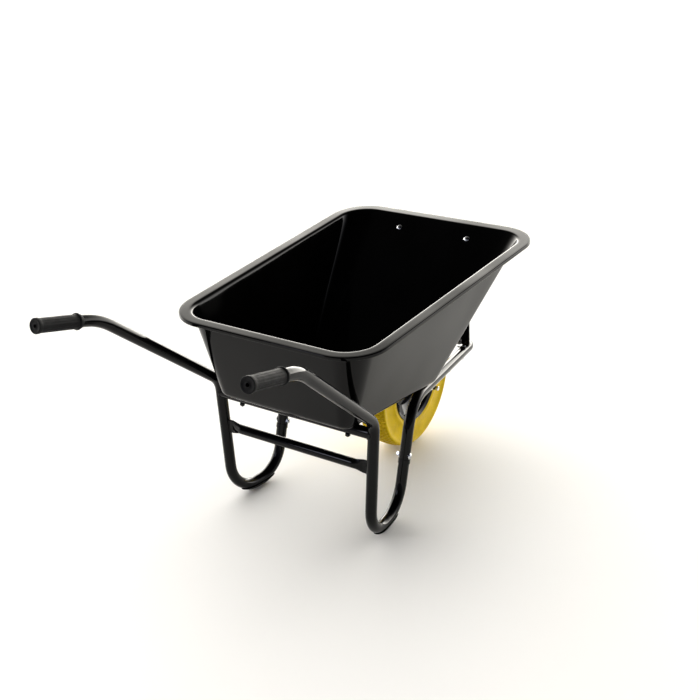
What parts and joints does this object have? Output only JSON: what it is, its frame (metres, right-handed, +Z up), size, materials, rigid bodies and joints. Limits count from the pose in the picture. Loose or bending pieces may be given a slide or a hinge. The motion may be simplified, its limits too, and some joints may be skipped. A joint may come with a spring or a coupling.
{
  "type": "wheelbarrow",
  "caption": "Builder's wheelbarrow with a black pressed steel tray, a bent tube frame with two looped feet, ribbed grips and one front wheel with a yellow solid tyre.",
  "frame": {"origin": "on the ground, under the middle of the box round the whole barrow as it stands on its wheel and two feet", "axes": "+X points forward, from the grips to the wheel; +Y points to the left of a person pushing it; +Z is up"},
  "size_m": [1.3823, 0.64, 0.7094],
  "materials": {
    "tray_enamel": "glossy black enamel",
    "frame_enamel": "glossy black powder coat",
    "rim_enamel": "glossy black enamel",
    "grip_rubber": "matt dark grey moulded rubber",
    "tyre_foam": "satin golden yellow foam rubber",
    "zinc_steel": "bright zinc plate",
    "dark_steel": "dark plated steel",
    "bush_plastic": "black nylon"
  },
  "bodies": {
    "chassis": {"axle": "zinc_steel", "axle_caps": "zinc_steel", "axle_sleeves": "dark_steel", "axle_spacers": "dark_steel", "axle_washers": "zinc_steel", "front_frame_tube": "frame_enamel", "left_axle_bracket": "frame_enamel", "left_foot_shoe": "frame_enamel", "left_front_stay": "frame_enamel", "left_grip": "grip_rubber", "left_leg_tube": "frame_enamel", "leg_brace": "frame_enamel", "leg_joint_bolts": "zinc_steel", "leg_joint_nuts": "zinc_steel", "right_axle_bracket": "frame_enamel", "right_foot_shoe": "frame_enamel", "right_front_stay": "frame_enamel", "right_grip": "grip_rubber", "right_leg_tube": "frame_enamel", "stay_foot_bolts": "zinc_steel", "stay_foot_nuts": "zinc_steel", "tray": "tray_enamel", "tray_cross_bar": "frame_enamel", "tray_floor_bolts": "frame_enamel", "tray_floor_nuts": "frame_enamel", "tray_front_bolts": "zinc_steel", "tray_front_nuts": "zinc_steel"},
    "wheel": {"tyre": "tyre_foam", "rim_left_half": "rim_enamel", "rim_right_half": "rim_enamel", "rim_bolts": "zinc_steel", "rim_nuts": "zinc_steel", "hub_tube": "zinc_steel", "hub_bushes": "bush_plastic"}
  },
  "joints": [
    {"name": "wheel_spin", "type": "hinge", "parent": "chassis", "child": "wheel", "pos_m": [0.4198, 0, 0.1965], "axis": [0, 1, 0], "continuous": true}
  ]
}
